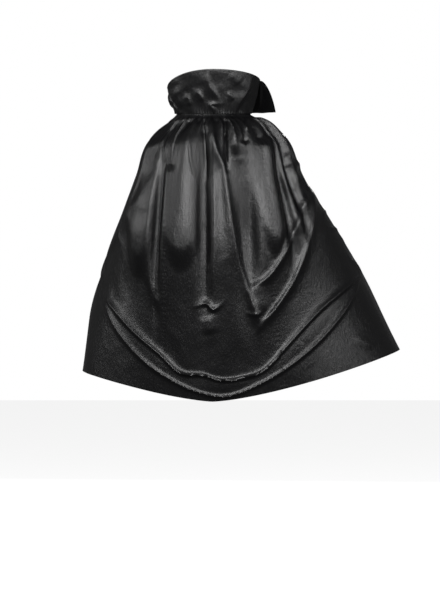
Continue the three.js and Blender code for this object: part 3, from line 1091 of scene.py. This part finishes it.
def neck_tape(name, start, end, middle, thick, bottom, height, material, rounded=0.0):
    """A tape that follows the neck seam, with rounded ends if `rounded` (degrees) isn't 0."""
    sections = []
    for degrees in np.linspace(start, end, max(8, int(abs(end - start) / 0.8))):
        from_end = min(degrees - start, end - degrees)
        share = min(1.0, (from_end + 0.02) / rounded) if rounded else 1.0
        tall = height * math.sqrt(1 - (1 - share) ** 2) if share < 1 else height
        tall = max(tall, 0.12 * height)
        pucker = 0.12 * MM * math.sin(degrees * 1.3) + 0.06 * MM * math.sin(degrees * 3.1)
        sections.append(band_section(degrees, middle + pucker, thick, bottom + (height - tall) / 2, tall))
    uvs = []
    for i in range(len(sections)):
        uvs += [(i * 1.2 * MM, k / BAND_AROUND * 2 * height) for k in range(BAND_AROUND)]
    faces = tube_faces(len(sections), BAND_AROUND)
    return mesh_object(name, np.concatenate(sections), faces, material, uvs)


def seam_path(start, end, out, z):
    """A path along the neck seam, with the direction away from the cloth at each of its points."""
    degrees = np.linspace(start, end, max(12, int(abs(end - start))))
    path = neck_point(degrees, out, z)
    return path, unit(neck_point(degrees, out + math.copysign(1 * MM, out), z) - path)


def add_neckband():
    band = neck_tape("band", -NECKBAND_END, NECKBAND_END, middle=0, thick=NECKBAND_THICKNESS,
                     bottom=NECKBAND_BOTTOM, height=NECKBAND_HEIGHT, material=BAND_SATIN)
    rows = []
    for z in (2.2 * MM, 9.4 * MM):
        for out in (-0.62 * MM, 0.62 * MM):
            rows.append(stitches("row", *seam_path(-NECKBAND_END + 2, NECKBAND_END - 2, out, z)))
    piece = join("neckband_satin", [band] + rows)
    stand_for(piece, ["neckband"], "back")


def fastener_points(start, end, out, bottom, height, pitch):
    """Places in rows over a tape on the neck seam, each with its outward direction."""
    degree = 1.35 * MM  # the neck seam's length for each degree round
    columns = int((end - start) * degree / pitch)
    rows = int(height / pitch)
    places = []
    for i in range(columns):
        for j in range(rows):
            shift = 0.5 * (j % 2)
            degrees = start + (i + 0.25 + shift) / columns * (end - start)
            z = bottom + (j + 0.5) / rows * height
            place = neck_point(np.array(degrees), out, z)
            places.append((place, unit(neck_point(np.array(degrees), out + 1 * MM, z) - place), i, j))
    return places


def bent_threads(name, places, profile, thick, material):
    """One small bent thread at each place; `profile` gives its points as (along, outward)."""
    vertices, faces = [], []
    for place, outward, i, j in places:
        along = np.cross((0, 0, 1), outward) * (1 if (i + j) % 2 else -1)
        across = np.cross(outward, along)
        faces += tube_faces(len(profile), 3, len(vertices))
        for out_along, out_up in profile:
            centre = place + along * out_along + outward * out_up
            for angle in np.radians((30, 150, 270)):
                vertices.append(centre + thick / 2 * (across * math.cos(angle) + outward * math.sin(angle)))
    return mesh_object(name, vertices, faces, material)


# The hook strip on the tab and the loop strip on the neckband: name, body, its ends in degrees and
# how far out its middle is; its threads' ends, distance out, pitch and thickness; and one thread's
# points in mm, along the strip and out of it.
FASTENERS = (
    ("hook", "closure", (194.5, 203), 3.6 * MM, (194.7, 202.8), 3.4 * MM, 0.75 * MM, 0.14 * MM,
     ((0, 0), (0, -0.35), (0.1, -0.5), (0.24, -0.5), (0.3, -0.38))),
    ("loop", "back", (-163.2, -150.8), 1.1 * MM, (-163, -151), 1.25 * MM, 0.62 * MM, 0.12 * MM,
     ((-0.3, 0), (-0.26, 0.3), (0, 0.46), (0.26, 0.3), (0.3, 0))),
)


def add_closure():
    tab = neck_tape("tab", 158, 204, middle=4.65 * MM, thick=1.2 * MM, bottom=0.6 * MM, height=10 * MM,
                    material=BAND_SATIN, rounded=4)
    rows = [stitches("row", *seam_path(162, 200, 5.27 * MM, z)) for z in (2 * MM, 9.2 * MM)]
    piece = join("closure_tab_satin", [tab] + rows)
    stand_for(piece, ["closure_tab"], "closure")
    for name, body, ends, middle, thread_ends, out, pitch, thick, profile in FASTENERS:
        base = neck_tape("base", *ends, middle, thick=0.4 * MM, bottom=1 * MM, height=9 * MM, material=NYLON)
        places = fastener_points(*thread_ends, out, bottom=1.2 * MM, height=8.6 * MM, pitch=pitch)
        threads = bent_threads("threads", places, np.array(profile) * MM, thick, NYLON)
        piece = join(name + "_strip_nylon", [base, threads])
        stand_for(piece, [name + "_strip"], body)


def add_label(name, node):
    """A blank woven tape with turned ends, sewn in across its top."""
    low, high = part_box(node)
    width, height = high.x - low.x, high.z - low.z
    across = np.linspace(low.x, high.x, 25)
    down = np.linspace(high.z, low.z, 31)
    x, z = np.meshgrid(across, down)
    from_top = (high.z - z) / height
    middle = (low.y + high.y) / 2
    curl = 0.5 * MM * np.sin(from_top * 5) + 0.25 * MM * np.cos((x - low.x) / width * 2 * math.pi)
    grid = np.stack([x, middle + curl * from_top, z], -1)
    normals = grid_normals(grid, np.zeros(3))
    turn = 4 * MM / height
    turned_end = (from_top < turn) | (from_top > 1 - turn)
    half = np.where(turned_end, 0.3 * MM, 0.18 * MM)
    tape = closed_sheet("tape", grid, normals, half, -half, np.stack([x, z], -1), TAPE)
    rows = []
    for row in (2, len(down) - 3):
        for sign in (-1, 1):
            path = grid[row, 1:-1] + normals[row, 1:-1] * 0.3 * MM * sign
            outward = normals[row, 1:-1] * sign
            rows.append(stitches("row", path, outward, length=1.6 * MM, pitch=2.2 * MM, thick=0.2 * MM))
    piece = join(name, [tape] + rows)
    stand_for(piece, [node], "labels")


# ---- the scene
add_camera()
add_light()
add_floor()
add_panels()
add_collar()
add_stiffeners()
add_neckband()
add_closure()
add_label("care_label_tape", "care_label")
add_label("size_label_tape", "size_label")
